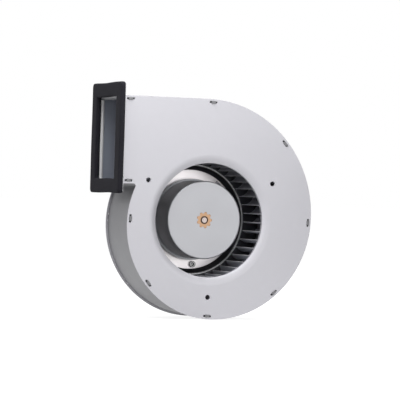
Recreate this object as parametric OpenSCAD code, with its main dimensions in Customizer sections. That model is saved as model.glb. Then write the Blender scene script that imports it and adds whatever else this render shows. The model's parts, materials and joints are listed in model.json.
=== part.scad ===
// Single-inlet centrifugal blower driven by an external-rotor DC motor.
// Millimetres. The origin lies on the impeller's axis at the outer face of the inlet plate.
// Seen from the inlet, +X is to the right and +Z is up; +Y runs into the housing.

/* [Housing] */
// Thickness of the housing's sheet steel
sheet = 1; // [0.8:0.1:1.2]
// Depth of the housing over both side plates
housing_depth = 64.4; // [63.6:0.2:68]
// Radius of the scroll's smallest arc
scroll_r = 93.5; // [91:0.5:98]
// Step between the centres of the scroll's arcs
scroll_step = 11.2; // [10:0.2:13]
// Rim of the side plates beyond the scroll wall
plate_rim = 2; // [1.5:0.1:3]
// Fillet where the outlet duct meets the scroll at the tongue
tongue_fillet = 2.3; // [1.5:0.1:4]

/* [Outlet] */
// Height of the duct's lower edge above the axis
duct_low_z = 34.5; // [30:0.5:38]
// Distance of the outlet's sealing face beyond the scroll's left side
outlet_stand = 9.5; // [8:0.5:20]
// Flange of the outlet frame beyond each side plate
frame_side = 9; // [8:0.5:12]
// Flange of the outlet frame below the duct
frame_below = 8; // [7:0.5:12]
// Flange of the outlet frame above the duct
frame_above = 11; // [9:0.5:14]
// Length of the outlet frame's neck inside the duct
neck_length = 3; // [2.5:0.5:7]
// Thickness of the foam gasket
gasket_t = 5; // [3:0.5:8]
// Width of the gasket's band
gasket_band = 14.4; // [13.5:0.1:15.5]
// Reach of the gasket beyond the outlet frame
gasket_over = 2; // [0.5:0.1:3]
// Corner radius of the gasket
gasket_corner = 3; // [1:0.5:5]

/* [Inlet] */
// Throat radius of the inlet bell
throat_r = 57.4; // [55:0.2:58.4]
// Radial width of the inlet bell's curve
bell_width = 8; // [6:0.5:9]
// Depth of the inlet bell's curve
bell_depth = 2.3; // [2:0.1:2.8]
// Width of the flat ring that joins the bell to the plate
bell_land = 2; // [1:0.5:3]
// Radius of the circle of mounting holes
mount_circle_r = 77; // [74:0.5:79]
// Radius of a mounting hole
mount_hole_r = 2.5; // [2:0.1:3]
// Wall of the plunged collar round a mounting hole
collar_wall = 0.8; // [0.6:0.1:1.2]
// Depth of the collar behind the sheet
collar_depth = 2; // [1:0.1:2.4]

/* [Scroll wall tabs] */
// Length of a slot for a tab
slot_length = 8; // [7:0.2:10]
// Width of a slot in the front plate
slot_width = 2.2; // [1.8:0.1:2.6]
// Length of a tab
tab_length = 4.4; // [3.6:0.2:6]
// Reach of a tab's crimped head over the plate
tab_crimp = 0.5; // [0.3:0.1:0.8]
// Height of the crimped head outside the plate
tab_head = 0.7; // [0.5:0.1:1.2]
// Distance of the two outlet tabs from the duct's end
tab_from_outlet = 8.6; // [7:0.2:12]

/* [Impeller] */
// Outer radius of the blades
impeller_r = 72; // [70:0.5:74]
// Inner radius of the blades
blade_inner_r = 57; // [56:0.5:60]
// Number of blades
blade_count = 40; // [32:4:48]
// Polar angle of the first blade's inner edge
blade_start = -1.2; // [-4.5:0.1:4.5]
// Thickness of a blade
blade_t = 0.6; // [0.5:0.1:1]
// Lean of a blade at its inner edge, against the direction of rotation
blade_lean = 25; // [15:1:35]
// Hook of a blade at its outer edge, with the direction of rotation
blade_hook = 55; // [45:1:60]
// Depth of the impeller's front ring
impeller_front = 4.4; // [4.4:0.2:6]
// Thickness of the front ring
ring_t = 0.8; // [0.6:0.1:1.2]
// Depth of the rolled lip round the front ring
ring_lip = 4; // [2:0.5:6]
// Thickness of the back disc
disc_t = 1; // [0.8:0.1:1.2]
// Depth of the dish in the back disc
dish_depth = 6.4; // [5.6:0.2:6.8]
// Width of the dish's floor round the rotor's bead
dish_floor_width = 9; // [8.4:0.1:9.6]
// Radial width of the dish's slope
dish_slope = 5; // [4:0.2:5.4]

/* [Rotor can] */
// Length of the rotor can over its rear flange
rotor_length = 44.9; // [42:0.1:48]
// Running gap between the rotor's rear flange and the motor flange
rotor_gap = 3.1; // [2:0.1:4]
// Radius of the rotor can
rotor_r = 39.4; // [39:0.1:40]
// Radius of the round on the rotor can's front edge
rotor_round = 1.6; // [0.5:0.1:1.8]
// Wall of the rotor can
rotor_wall = 2; // [1.8:0.1:2.2]
// Height of the bead in front of the impeller's seat
bead_height = 2.1; // [1.8:0.1:2.4]
// Height of the impeller's seat over the rotor can
seat_height = 1.2; // [0.8:0.1:1.6]
// Width of the bead
bead_width = 1.2; // [0.8:0.1:2]
// Distance from the bead to the floor of the dish
bead_gap = 5.4; // [4:0.2:7]
// Distance of the rear flange's edge inside the dish's slope
flange_inset = 1.1; // [0.8:0.1:1.6]
// Thickness of the rotor's rear flange
flange_t = 2.5; // [2:0.1:3]

/* [Hub and shaft] */
// Radius of the star bush without its lobes
hub_r = 6.6; // [6.2:0.1:7]
// Radius of a lobe of the star bush
lobe_r = 1.7; // [1.4:0.1:2]
// Number of lobes
lobe_count = 9; // [7:1:11]
// Radius of the hub's boss behind the rotor's front wall
hub_boss_r = 5; // [4.6:0.1:5.4]
// Radius of the shaft
shaft_r = 3; // [2.8:0.1:3.2]
// Width of the groove round the shaft in the bush's face
hub_groove_width = 1; // [0.8:0.1:1.5]
// Depth of that groove
hub_groove_depth = 1; // [0.5:0.1:1.5]
// Length of shaft in front of the bush
shaft_proud = 0.4; // [0.2:0.1:1]

/* [Bearings] */
// Outer radius of a ball bearing
bearing_r = 9.5; // [9.2:0.1:9.8]
// Width of a ball bearing
race_width = 6; // [5.6:0.1:6.4]
// Radius of a bearing ball
ball_r = 1.75; // [1.6:0.05:1.8]
// Number of balls in a bearing
ball_count = 7; // [6:1:8]
// Radial play between a ball and its races
ball_play = 0.03; // [0.02:0.01:0.05]
// Depth of the race grooves
race_depth = 0.5; // [0.4:0.1:0.6]
// Distance of the rear bearing inside the motor flange's floor
rear_recess = 5.4; // [4.6:0.1:6]
// Distance from the rotor's front face to the front bearing
bearing_from_face = 12; // [11:0.5:13]
// Thickness of the preload washer
spring_t = 0.6; // [0.4:0.1:0.8]

/* [Stator] */
// Radial thickness of the magnets
magnet_t = 4; // [3.5:0.1:4.5]
// Length of the magnets
magnet_length = 28; // [24:0.5:30]
// Number of magnets
magnet_count = 8; // [6:2:10]
// Air gap between the magnets and the stator
air_gap = 0.6; // [0.5:0.1:0.9]
// Length of the stator's stack
stack_length = 20; // [16:0.5:21]
// Number of stator teeth
tooth_count = 12; // [9:3:12]
// Width of a stator tooth
tooth_width = 5; // [4:0.2:5.6]
// Width of the slot opening between two tooth shoes
slot_opening = 3; // [2:0.2:4]
// Thickness of a tooth shoe
shoe_t = 2; // [1.5:0.1:2.5]
// Wall of the stator's insulator
insulator_t = 0.8; // [0.6:0.1:1]
// Thickness of a coil beside its tooth
coil_t = 2; // [1.2:0.1:2.2]
// Height of a coil beyond the stack
coil_end = 4; // [3:0.2:4.6]

/* [Motor flange] */
// Thickness of the motor flange's floor
floor_t = 2.4; // [2:0.1:2.6]
// Recess of that floor behind the rim's rear face
floor_recess = 1.5; // [1:0.1:1.6]
// Radius of the motor opening in the back plate
opening_r = 51; // [50.5:0.1:51.5]
// Width of the motor flange's rim on the back plate
rim_width = 9; // [8.4:0.1:11]
// Thickness of that rim
rim_t = 3; // [2.4:0.1:3.4]
// Wall of the bearing tube
tube_wall = 2.5; // [2.2:0.1:3]
// Shoulder that the bearings sit against
shoulder = 1.4; // [1:0.1:1.6]
// Radius of the electronics pot
pot_r = 46; // [44:0.5:48]
// Wall of the electronics pot
pot_wall = 2.4; // [2:0.1:3]
// Height of the pot behind the flange's rim
pot_height = 8; // [7.4:0.1:9]
// Number of cooling ribs round the pot
rib_count = 24; // [18:2:30]
// Thickness of a cooling rib
rib_t = 1.4; // [1:0.1:1.8]
// Number of screws through the motor flange
flange_screws = 4; // [3:1:6]
// Radius of those screws
flange_screw_r = 2; // [1.6:0.1:2.2]

/* [Electronics] */
// Clearance between the circuit board and the pot
board_gap = 3.6; // [3.2:0.1:5]
// Thickness of the circuit board
board_t = 1.6; // [1.2:0.1:1.8]
// Height of the posts under the circuit board
post_height = 4; // [3.6:0.1:4.4]
// Radius of a post
post_r = 2.6; // [2:0.1:3]
// Side of a driver chip
chip_side = 6; // [5:0.1:7]
// Height of a driver chip
chip_height = 1.4; // [1:0.1:1.6]
// Thickness of the rear cover
cover_t = 1.5; // [1.2:0.1:2]
// Number of screws in the rear cover
cover_screws = 3; // [3:1:4]
// Radius of a screw in the rear cover
cover_screw_r = 1.5; // [1.2:0.1:1.7]
// Length of a cover screw in its boss
cover_screw_grip = 4; // [3:0.1:5]
// Wall of a screw boss in the pot
boss_wall = 1.7; // [1.4:0.1:2]
// Radius of the cable grommet's bore
grommet_bore_r = 1.8; // [1.4:0.1:2]
// Wall of the cable grommet
grommet_wall = 0.7; // [0.5:0.1:0.9]
// Length of the grommet outside the pot
grommet_stand = 1.6; // [1:0.1:2.4]

/* [Screws] */
// Radius of an impeller screw
impeller_screw_r = 2; // [1.6:0.1:2.2]
// Clearance round a screw in a through hole
screw_clearance = 0.2; // [0.1:0.05:0.3]
// Head radius of a screw as a multiple of its own radius
head_ratio = 1.6; // [1.5:0.05:1.8]
// Head height of a screw as a multiple of its own radius
head_height_ratio = 1.1; // [1:0.05:1.2]
// Radius of a screw's hexagon socket as a multiple of the screw's own radius
socket_ratio = 0.95; // [0.8:0.05:1]
// Depth of that socket as a share of the head's height
socket_depth_ratio = 0.6; // [0.4:0.05:0.7]
// Polar angle of the first impeller screw
impeller_screw_angle = -85; // [-95:1:-75]
// Thickness of the balance clip
clip_t = 1.2; // [0.8:0.1:1.4]
// Radial width of the balance clip
clip_width = 4; // [3:0.1:4.4]
// Length of the balance clip
clip_length = 6; // [4:0.2:8]
// Polar angle of the balance clip
clip_angle = 51; // [48:1:56]

/* [Hidden] */
$fn = 96;
cut = 1; // how far a cutting solid runs past the face that it cuts

// Scroll: four arcs on the corners of a square, each one step larger than the last
half_step = scroll_step / 2;
arc_low = [half_step, -half_step];
arc_right = [half_step, half_step];
arc_top = [-half_step, half_step];
scroll_top_z = half_step + scroll_r + 2 * scroll_step;
outlet_reach = scroll_r - half_step + outlet_stand;
plate_end_x = -outlet_reach + sheet;
fillet_bite = 0.02; // the tongue's fillet crosses its neighbours by this much
wall_mid = plate_rim + sheet / 2;
back_face = housing_depth - sheet;
collar_angle = 30;
joint_lap = 4; // overlap of two parts of one outline
slot_gap = 0.1; // between the outer face of the scroll wall and a slot's outer edge
rear_slot_width = sheet + 2 * slot_gap;
tab_angles = [90, 45, 0, -45, -90, -135, -180];

// Motor flange, by depth
rim_front = housing_depth;
rim_back = rim_front + rim_t;
floor_back = rim_back - floor_recess;
floor_front = floor_back - floor_t;
pot_back = rim_back + pot_height;
register_gap = 0.4; // between the flange's floor and the opening in the back plate
rim_r = opening_r + rim_width;
flange_screw_circle_r = opening_r + rim_width / 2;
flange_screw_angle = 45;

// Electronics, by depth
board_front = floor_back + post_height;
board_back = board_front + board_t;
board_r = pot_r - pot_wall - board_gap;
post_circle_r = board_r - 2 * post_r;
post_angle = -120;
cover_back = pot_back + cover_t;
cover_screw_angle = -60;
boss_r = cover_screw_r + boss_wall;
cover_screw_circle_r = pot_r - pot_wall - cover_screw_r - boss_wall / 2;
grommet_r = grommet_bore_r + grommet_wall;
grommet_angle = -90;
grommet_depth = (rim_back + pot_back) / 2;

// Rotor and impeller, by depth from the motor flange forwards
rotor_back = floor_front - rotor_gap;
rotor_front = rotor_back - rotor_length;
flange_front = rotor_back - flange_t;
dish_floor = flange_front - disc_t;
disc_front = dish_floor - dish_depth;
ring_back = impeller_front + ring_t;
bead_front = dish_floor - bead_gap;

// Rotor and impeller, by radius from the can outwards
seat_r = rotor_r + seat_height;
bead_r = rotor_r + bead_height;
dish_floor_r = bead_r + dish_floor_width;
dish_outer_r = dish_floor_r + dish_slope;
flange_r = dish_floor_r - flange_inset;
impeller_screw_circle_r = (bead_r + dish_floor_r) / 2;
ring_overhang = 0.9; // front ring and back disc beyond the blades' tips

// Bearings, by depth
front_bearing = rotor_front + bearing_from_face;
rear_bearing = floor_back - rear_recess - race_width;
rear_seat = rear_bearing - spring_t;
ball_circle_r = (bearing_r + shaft_r) / 2;
race_inner_r = ball_circle_r - ball_r - ball_play + race_depth;
race_outer_r = ball_circle_r + ball_r + ball_play - race_depth;
cage_play = 0.25;
cage_rim = 0.5;
circlip_t = 0.8;
circlip_r = shaft_r + 1.2;
circlip_groove = 0.4;
circlip_gap = 1.6;
circlip_front = rear_bearing + race_width;
shaft_back = circlip_front + 3 * circlip_t;

// Stator, by radius and depth
tube_r = bearing_r + tube_wall;
magnet_outer_r = rotor_r - rotor_wall;
magnet_inner_r = magnet_outer_r - magnet_t;
magnet_joint = 1;
stator_r = magnet_inner_r - air_gap;
back_iron = 4; // ring of the stator round the bearing tube
stack_front = front_bearing + 0.75 * race_width;
stack_back = stack_front + stack_length;
magnet_front = stack_front + (stack_length - magnet_length) / 2;
coil_gap = 0.5; // between neighbouring coils, and from a coil to the iron

// Places a flat shape facing the viewer between two depths
module slab(front, back) {
    translate([0, back, 0]) rotate([90, 0, 0]) linear_extrude(back - front) children();
}

// Turns a profile of [radius, depth] about the fan's axis
module turned() {
    rotate([-90, 0, 0]) rotate_extrude() children();
}

// A rod about a parallel axis at a polar position
module rod(r, front, back) {
    slab(front, back) circle(r);
}

// Repeats children round the fan's axis, the first at the given polar angle
module around(count, start = 0) {
    for (i = [0 : count - 1]) {
        rotate([0, -(start + i * 360 / count), 0]) children();
    }
}

module ring_2d(outer, inner) {
    difference() {
        circle(outer);
        circle(inner);
    }
}

/* ---- Scroll outline ---- */

// Quarter of the scroll on one of its centres, as a disc cut to a rectangle
module scroll_quarter(centre, r, low, high) {
    intersection() {
        translate(centre) circle(r);
        translate(low) square(high - low);
    }
}

// Outline of the scroll and duct, moved inwards by inset, with the duct ending at end_x
module scroll_2d(inset, end_x) {
    reach = scroll_r + 3 * scroll_step;
    r_low = scroll_r - inset;
    r_right = r_low + scroll_step;
    r_top = r_right + scroll_step;
    union() {
        scroll_quarter(arc_low, r_low, [-reach, -reach], [half_step, duct_low_z + 2 * joint_lap]);
        scroll_quarter(arc_right, r_right, [half_step, -reach], [reach, half_step]);
        scroll_quarter(arc_top, r_top, [-half_step, half_step], [reach, reach]);
        translate([end_x, duct_low_z + inset])
            square([-half_step - end_x, scroll_top_z - duct_low_z - 2 * inset]);
        tongue_2d(inset);
    }
}

// Fillet in the corner between the duct's underside and the scroll
module tongue_2d(inset) {
    f = tongue_fillet;
    centre_z = duct_low_z - f + fillet_bite;
    rise = centre_z - arc_low[1];
    centre_x = arc_low[0] - sqrt(pow(scroll_r + f - fillet_bite, 2) - rise * rise);
    inner_x = centre_x + 2 * f + joint_lap / 2 + inset;
    top_z = duct_low_z + inset + joint_lap / 4;
    difference() {
        polygon([
            [centre_x, centre_z],
            [inner_x, centre_z - rise * (inner_x - centre_x) / (arc_low[0] - centre_x)],
            [inner_x, top_z],
            [centre_x, top_z]
        ]);
        translate([centre_x, centre_z]) circle(f + inset);
    }
}

// Distance from the axis to an arc along a polar angle
function ray(angle, centre, r) =
    let (along = centre[0] * cos(angle) + centre[1] * sin(angle))
    along + sqrt(along * along - centre * centre + r * r);

// Arc that the wall follows at a polar angle: centre and radius of the wall's middle
function wall_arc(angle) =
    let (r = scroll_r - wall_mid)
    angle > 0 && angle <= 90 ? [arc_top, r + 2 * scroll_step]
    : angle <= 0 && angle > -90 ? [arc_right, r + scroll_step]
    : [arc_low, r];

// Puts children on the wall's middle, with their x axis along the wall
module on_wall(angle) {
    arc = wall_arc(angle);
    d = ray(angle, arc[0], arc[1]);
    place = [d * cos(angle), d * sin(angle)];
    out = place - arc[0];
    translate(place) rotate(atan2(out[1], out[0]) - 90) children();
}

// Puts children at every tab, with y pointing out of the housing
module tab_places() {
    for (angle = tab_angles) {
        on_wall(angle) children();
    }
    translate([plate_end_x + tab_from_outlet, scroll_top_z - wall_mid]) children();
    translate([plate_end_x + tab_from_outlet, duct_low_z + wall_mid]) rotate(180) children();
}

// Slots that start at the wall's outer face and run inwards, so that nothing shows past the wall
module slots_2d(width) {
    tab_places() translate([-slot_length / 2, sheet / 2 + slot_gap - width])
        square([slot_length, width]);
}

/* ---- Housing ---- */

module collar_places() {
    around(3, collar_angle) translate([mount_circle_r, 0, 0]) children();
}

// Rolled-in edge of the inlet, with a flat ring that joins it to the plate
module inlet_bell(flat_r) {
    curve_r = (bell_width * bell_width + bell_depth * bell_depth) / (2 * bell_depth);
    bell_r = throat_r + bell_width;
    turned() {
        translate([bell_r, 0]) square([flat_r - bell_r, sheet]);
        intersection() {
            translate([bell_r, curve_r]) ring_2d(curve_r, curve_r - sheet);
            translate([throat_r, 0]) square([bell_width, bell_depth + sheet]);
        }
    }
}

module front_plate() {
    flat_r = throat_r + bell_width + bell_land;
    color("lightgray") difference() {
        union() {
            slab(0, sheet) difference() {
                scroll_2d(0, plate_end_x);
                circle(flat_r);
                slots_2d(slot_width);
            }
            inlet_bell(flat_r);
            collar_places() rod(mount_hole_r + collar_wall, 0, sheet + collar_depth);
        }
        collar_places() rod(mount_hole_r, -cut, sheet + collar_depth + cut);
    }
}

module back_plate() {
    color("lightgray") slab(back_face, housing_depth) difference() {
        scroll_2d(0, plate_end_x);
        circle(opening_r);
        slots_2d(rear_slot_width);
        flange_screw_places_2d() circle(flange_screw_r);
    }
}

module flange_screw_places_2d() {
    for (i = [0 : flange_screws - 1]) {
        rotate(flange_screw_angle + i * 360 / flange_screws)
            translate([flange_screw_circle_r, 0]) children();
    }
}

module scroll_wall() {
    color("silver") {
        slab(sheet, back_face) difference() {
            scroll_2d(plate_rim, plate_end_x);
            scroll_2d(plate_rim + sheet, plate_end_x - cut);
        }
        wall_tabs(-tab_head, sheet, -tab_head, slot_width);
        wall_tabs(back_face, housing_depth + tab_head, housing_depth, rear_slot_width);
    }
}

// Tabs on one side of the wall: a neck through the plate and a crimped head outside it
// Tabs through one plate, each with a head that is crimped inwards over the plate
module wall_tabs(front, back, head_front, width) {
    crimp = width - slot_gap + tab_crimp;
    slab(front, back) tab_places() square([tab_length, sheet], center = true);
    slab(head_front, head_front + tab_head)
        tab_places() translate([-tab_length / 2, sheet / 2 - crimp]) square([tab_length, crimp]);
}

module outlet_frame() {
    wall_z_low = duct_low_z + plate_rim + sheet;
    wall_z_high = scroll_top_z - plate_rim - sheet;
    color("gainsboro") difference() {
        union() {
            translate([-outlet_reach, -frame_side, duct_low_z - frame_below])
                cube([
                    sheet,
                    housing_depth + 2 * frame_side,
                    scroll_top_z - duct_low_z + frame_below + frame_above
                ]);
            translate([-outlet_reach, sheet, wall_z_low])
                cube([sheet + neck_length, housing_depth - 2 * sheet, wall_z_high - wall_z_low]);
        }
        translate([-outlet_reach - cut, 2 * sheet, wall_z_low + sheet])
            cube([
                sheet + neck_length + 2 * cut,
                housing_depth - 4 * sheet,
                wall_z_high - wall_z_low - 2 * sheet
            ]);
    }
}

module outlet_gasket() {
    width = housing_depth + 2 * (frame_side + gasket_over);
    low_z = duct_low_z - frame_below - gasket_over;
    high_z = scroll_top_z + frame_above + gasket_over;
    color([0.14, 0.14, 0.16])
        translate([-outlet_reach, (housing_depth - width) / 2, low_z])
            rotate([90, 0, -90]) linear_extrude(gasket_t) difference() {
                rounded_2d(-width, high_z - low_z, gasket_corner);
                translate([-gasket_band, gasket_band])
                    rounded_2d(2 * gasket_band - width, high_z - low_z - 2 * gasket_band, gasket_corner / 2);
            }
}

// Rectangle with round corners that grows to negative x and positive y from the origin
module rounded_2d(x, y, r) {
    w = abs(x);
    translate([-w, 0]) union() {
        translate([r, 0]) square([w - 2 * r, y]);
        translate([0, r]) square([w, y - 2 * r]);
        for (cx = [r, w - r], cy = [r, y - r]) {
            translate([cx, cy]) circle(r);
        }
    }
}

/* ---- Motor, fixed part ---- */

module motor_flange() {
    color("silver") difference() {
        union() {
            turned() difference() {
                motor_flange_profile();
                translate([-cut, front_bearing - cut]) square([cut + bearing_r, race_width + cut]);
                translate([-cut, front_bearing])
                    square([cut + bearing_r - shoulder, floor_back - front_bearing + cut]);
                translate([-cut, rear_seat]) square([cut + bearing_r, floor_back - rear_seat + cut]);
            }
            around(rib_count, 180 / rib_count) cooling_rib();
            around(3, post_angle) translate([post_circle_r, 0, 0]) rod(post_r, floor_back, board_front);
            cover_screw_places() rod(boss_r, floor_back, pot_back);
        }
        slab(rim_front - cut, rim_back + cut) flange_screw_places_2d()
            circle(flange_screw_r + screw_clearance);
        cover_screw_places() rod(cover_screw_r, pot_back - cover_screw_grip, pot_back + cut);
        grommet_place(-cut) cylinder(r = grommet_r, h = pot_wall + rib_reach + 2 * cut);
    }
}

// Floor, rim, bearing tube and electronics pot, as rectangles of [radius, depth]
module motor_flange_profile() {
    pot_inner_r = pot_r - pot_wall;
    translate([0, floor_front]) square([opening_r - register_gap, floor_t]);
    translate([pot_inner_r, rim_front]) square([rim_r - pot_inner_r, rim_t]);
    translate([0, front_bearing]) square([tube_r, floor_back - front_bearing]);
    translate([pot_inner_r, rim_front]) square([pot_wall, rim_t + pot_height]);
}

rib_reach = 3; // reach of a cooling rib beyond the pot
rib_step = 1; // drop of a rib below the pot's rear edge

// Rib that runs from the rim up the outside of the electronics pot
module cooling_rib() {
    translate([pot_r - pot_wall / 2, rim_back - rim_t / 2, -rib_t / 2])
        cube([rib_reach + pot_wall / 2, pot_height + rim_t / 2 - rib_step, rib_t]);
}

module cover_screw_places() {
    around(cover_screws, cover_screw_angle) translate([cover_screw_circle_r, 0, 0]) children();
}

// Puts children on the grommet's axis, pointing outwards from the pot's inner wall
module grommet_place(out) {
    rotate([0, -grommet_angle, 0]) translate([pot_r - pot_wall + out, grommet_depth, 0])
        rotate([0, 90, 0]) children();
}

// A socket-head screw along the fan's axis; the head lies in front, or behind if head_back
module screw(r, front, length, head_back) {
    head_r = r * head_ratio;
    head_h = r * head_height_ratio;
    head_front = head_back ? front + length : front - head_h;
    socket_h = head_h * socket_depth_ratio;
    socket_front = head_back ? head_front + head_h - socket_h : head_front - cut;
    difference() {
        union() {
            rod(r, front, front + length);
            rod(head_r, head_front, head_front + head_h);
        }
        slab(socket_front, socket_front + socket_h + cut) circle(r * socket_ratio, $fn = 6);
    }
}

module motor_flange_screws() {
    color("dimgray") around(flange_screws, flange_screw_angle)
        translate([flange_screw_circle_r, 0, 0])
            screw(flange_screw_r, back_face, rim_back - back_face, true);
}

module stator_2d(inner_r, outer_r, tooth, shoe, opening) {
    difference() {
        union() {
            ring_2d(inner_r + back_iron, inner_r);
            difference() {
                ring_2d(outer_r, outer_r - shoe);
                for (i = [0 : tooth_count - 1]) {
                    rotate((i + 0.5) * 360 / tooth_count)
                        translate([outer_r - shoe - cut, -opening / 2])
                            square([shoe + 2 * cut, opening]);
                }
            }
            for (i = [0 : tooth_count - 1]) {
                rotate(i * 360 / tooth_count) translate([inner_r + back_iron / 2, -tooth / 2])
                    square([outer_r - shoe / 2 - inner_r - back_iron / 2, tooth]);
            }
        }
        circle(inner_r);
    }
}

module stator_core() {
    color("slategray") slab(stack_front, stack_back)
        stator_2d(tube_r, stator_r, tooth_width, shoe_t, slot_opening);
}

// Two moulded end caps that keep the coils off the laminations
module stator_insulator() {
    color("ivory") {
        slab(stack_front - insulator_t, stack_front)
            stator_2d(tube_r, stator_r, tooth_width, shoe_t, slot_opening);
        slab(stack_back, stack_back + insulator_t)
            stator_2d(tube_r, stator_r, tooth_width, shoe_t, slot_opening);
    }
}

// One coil round each tooth
module stator_windings() {
    coil_in = tube_r + back_iron + coil_gap;
    coil_out = stator_r - shoe_t - coil_gap;
    wide = tooth_width + 2 * coil_t;
    front = stack_front - coil_end;
    length = stack_length + 2 * coil_end;
    color("peru") around(tooth_count) difference() {
        intersection() {
            translate([coil_in, front, -wide / 2]) cube([coil_out - coil_in, length, wide]);
            coil_wedge(front, length);
        }
        translate([coil_in - cut, stack_front - insulator_t, -tooth_width / 2])
            cube([coil_out - coil_in + 2 * cut, stack_length + 2 * insulator_t, tooth_width]);
    }
}

// The sector that a coil may fill, clear of its neighbours
module coil_wedge(front, length) {
    half = 180 / tooth_count;
    tip = coil_gap / 2 / sin(half);
    slab(front - cut, front + length + cut)
        polygon([
            [tip, 0],
            [tip + 2 * stator_r * cos(half), -2 * stator_r * sin(half)],
            [tip + 2 * stator_r * cos(half), 2 * stator_r * sin(half)]
        ]);
}

module circuit_board() {
    color("darkgreen") slab(board_front, board_back) difference() {
        circle(board_r);
        circle(bearing_r);
        for (i = [0 : cover_screws - 1]) {
            rotate(cover_screw_angle + i * 360 / cover_screws) translate([cover_screw_circle_r, 0])
                circle(boss_r + coil_gap);
        }
    }
}

// Driver chips and a ring of small parts on the rear face of the board
module board_components() {
    small = chip_side / 2;
    color("black") {
        around(3) translate([tube_r + chip_side, board_back, -chip_side / 2])
            cube([chip_side, chip_height, chip_side]);
        around(6, 180 / 6) translate([tube_r + chip_side + 1.4 * chip_side, board_back, -small / 2])
            cube([small, small / 3, small]);
    }
}

module rear_cover() {
    color("gray") slab(pot_back, cover_back) difference() {
        circle(pot_r);
        for (i = [0 : cover_screws - 1]) {
            rotate(cover_screw_angle + i * 360 / cover_screws) translate([cover_screw_circle_r, 0])
                circle(cover_screw_r + screw_clearance);
        }
    }
}

module rear_cover_screws() {
    grip = cover_screw_grip - screw_clearance;
    color("dimgray") cover_screw_places() screw(cover_screw_r, pot_back - grip, grip + cover_t, true);
}

module cable_grommet() {
    color([0.1, 0.1, 0.1]) grommet_place(0) rotate_extrude()
        translate([grommet_bore_r, 0]) square([grommet_wall, pot_wall + grommet_stand]);
}

/* ---- Bearings ---- */

module bearing_ring(front, r_in, r_out) {
    turned() difference() {
        translate([r_in, front]) square([r_out - r_in, race_width]);
        translate([ball_circle_r, front + race_width / 2]) circle(ball_r + ball_play);
    }
}

// Ribbon between the races with a round pocket for each ball
module bearing_cage(front) {
    middle = front + race_width / 2;
    inner = race_inner_r + cage_play;
    outer = race_outer_r - cage_play;
    half = ball_r + cage_rim;
    color("goldenrod") difference() {
        turned() translate([inner, middle - half]) square([outer - inner, 2 * half]);
        around(ball_count) translate([inner - cut, middle, 0]) rotate([0, 90, 0])
            cylinder(r = ball_r + ball_play, h = outer - inner + 2 * cut);
    }
}

module bearing_balls(front) {
    color("whitesmoke") ball_places(front + race_width / 2) sphere(ball_r);
}

module ball_places(middle) {
    around(ball_count) translate([ball_circle_r, middle, 0]) children();
}

module front_bearing_outer_ring() {
    color("lightsteelblue") bearing_ring(front_bearing, race_outer_r, bearing_r);
}

module rear_bearing_outer_ring() {
    color("lightsteelblue") bearing_ring(rear_bearing, race_outer_r, bearing_r);
}

module front_bearing_inner_ring() {
    color("lightsteelblue") bearing_ring(front_bearing, shaft_r, race_inner_r);
}

module rear_bearing_inner_ring() {
    color("lightsteelblue") bearing_ring(rear_bearing, shaft_r, race_inner_r);
}

module front_bearing_cage() {
    bearing_cage(front_bearing);
}

module rear_bearing_cage() {
    bearing_cage(rear_bearing);
}

module front_bearing_balls() {
    bearing_balls(front_bearing);
}

module rear_bearing_balls() {
    bearing_balls(rear_bearing);
}

module preload_spring() {
    color("gray") rod_ring(bearing_r, bearing_r - shoulder, rear_seat, rear_bearing);
}

module rod_ring(outer, inner, front, back) {
    slab(front, back) ring_2d(outer, inner);
}

/* ---- Impeller ---- */

// One forward-curved blade: a piece of ring cut to the width of the bladed band
module blade_2d() {
    rise = pow(impeller_r, 2) - pow(blade_inner_r, 2);
    curve_r = rise / 2 / (blade_inner_r * sin(blade_lean) + impeller_r * sin(blade_hook));
    centre = [blade_inner_r + curve_r * sin(blade_lean), curve_r * cos(blade_lean)];
    turn = atan2(centre[1], centre[0]);
    reach = 2 * impeller_r;
    intersection() {
        translate(centre) ring_2d(curve_r + blade_t / 2, curve_r - blade_t / 2);
        ring_2d(impeller_r, blade_inner_r);
        rotate(turn) translate([0, -reach]) square([reach, reach]);
    }
}

module impeller_blades() {
    color([0.3, 0.3, 0.33]) around(blade_count, blade_start)
        slab(ring_back, disc_front) blade_2d();
}

// Annular sheet that ties the blades at the inlet, rolled back over their tips
module impeller_front_ring() {
    rim = impeller_r + ring_overhang;
    inner = blade_inner_r + blade_t / 2;
    color("dimgray") turned() {
        translate([inner, impeller_front]) square([rim - inner, ring_t]);
        translate([rim - ring_t, impeller_front]) square([ring_t, ring_t + ring_lip]);
    }
}

// Dished sheet that carries the blades and sits on the rotor's rear flange
module impeller_back_disc() {
    rim = impeller_r + ring_overhang;
    color("gainsboro") difference() {
        turned() polygon([
            [rim, disc_front],
            [dish_outer_r, disc_front],
            [dish_floor_r, dish_floor],
            [seat_r, dish_floor],
            [seat_r, flange_front],
            [dish_floor_r - 0.4 * disc_t, flange_front],
            [dish_outer_r - 0.6 * disc_t, disc_front + disc_t],
            [rim, disc_front + disc_t]
        ]);
        impeller_screw_places() rod(impeller_screw_r + screw_clearance, dish_floor - cut, flange_front + cut);
    }
}

module impeller_screw_places() {
    around(3, impeller_screw_angle) translate([impeller_screw_circle_r, 0, 0]) children();
}

module impeller_screws() {
    color("gray") impeller_screw_places()
        screw(impeller_screw_r, dish_floor, disc_t + flange_t, false);
}

// Small steel weight riveted on the floor of the dish
module balance_clip() {
    clip_r = impeller_screw_circle_r + clip_width / 4;
    color("darkgray") rotate([0, -clip_angle, 0]) slab(dish_floor - clip_t, dish_floor) intersection() {
        ring_2d(clip_r + clip_width / 2, clip_r - clip_width / 2);
        translate([clip_r - clip_width, -clip_length / 2]) square([2 * clip_width, clip_length]);
    }
}

/* ---- Rotor ---- */

// Outline of the bush and of the hole that it fills
module star_2d() {
    circle(hub_r);
    for (i = [0 : lobe_count - 1]) {
        rotate(i * 360 / lobe_count) translate([hub_r, 0]) circle(lobe_r);
    }
}

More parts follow.
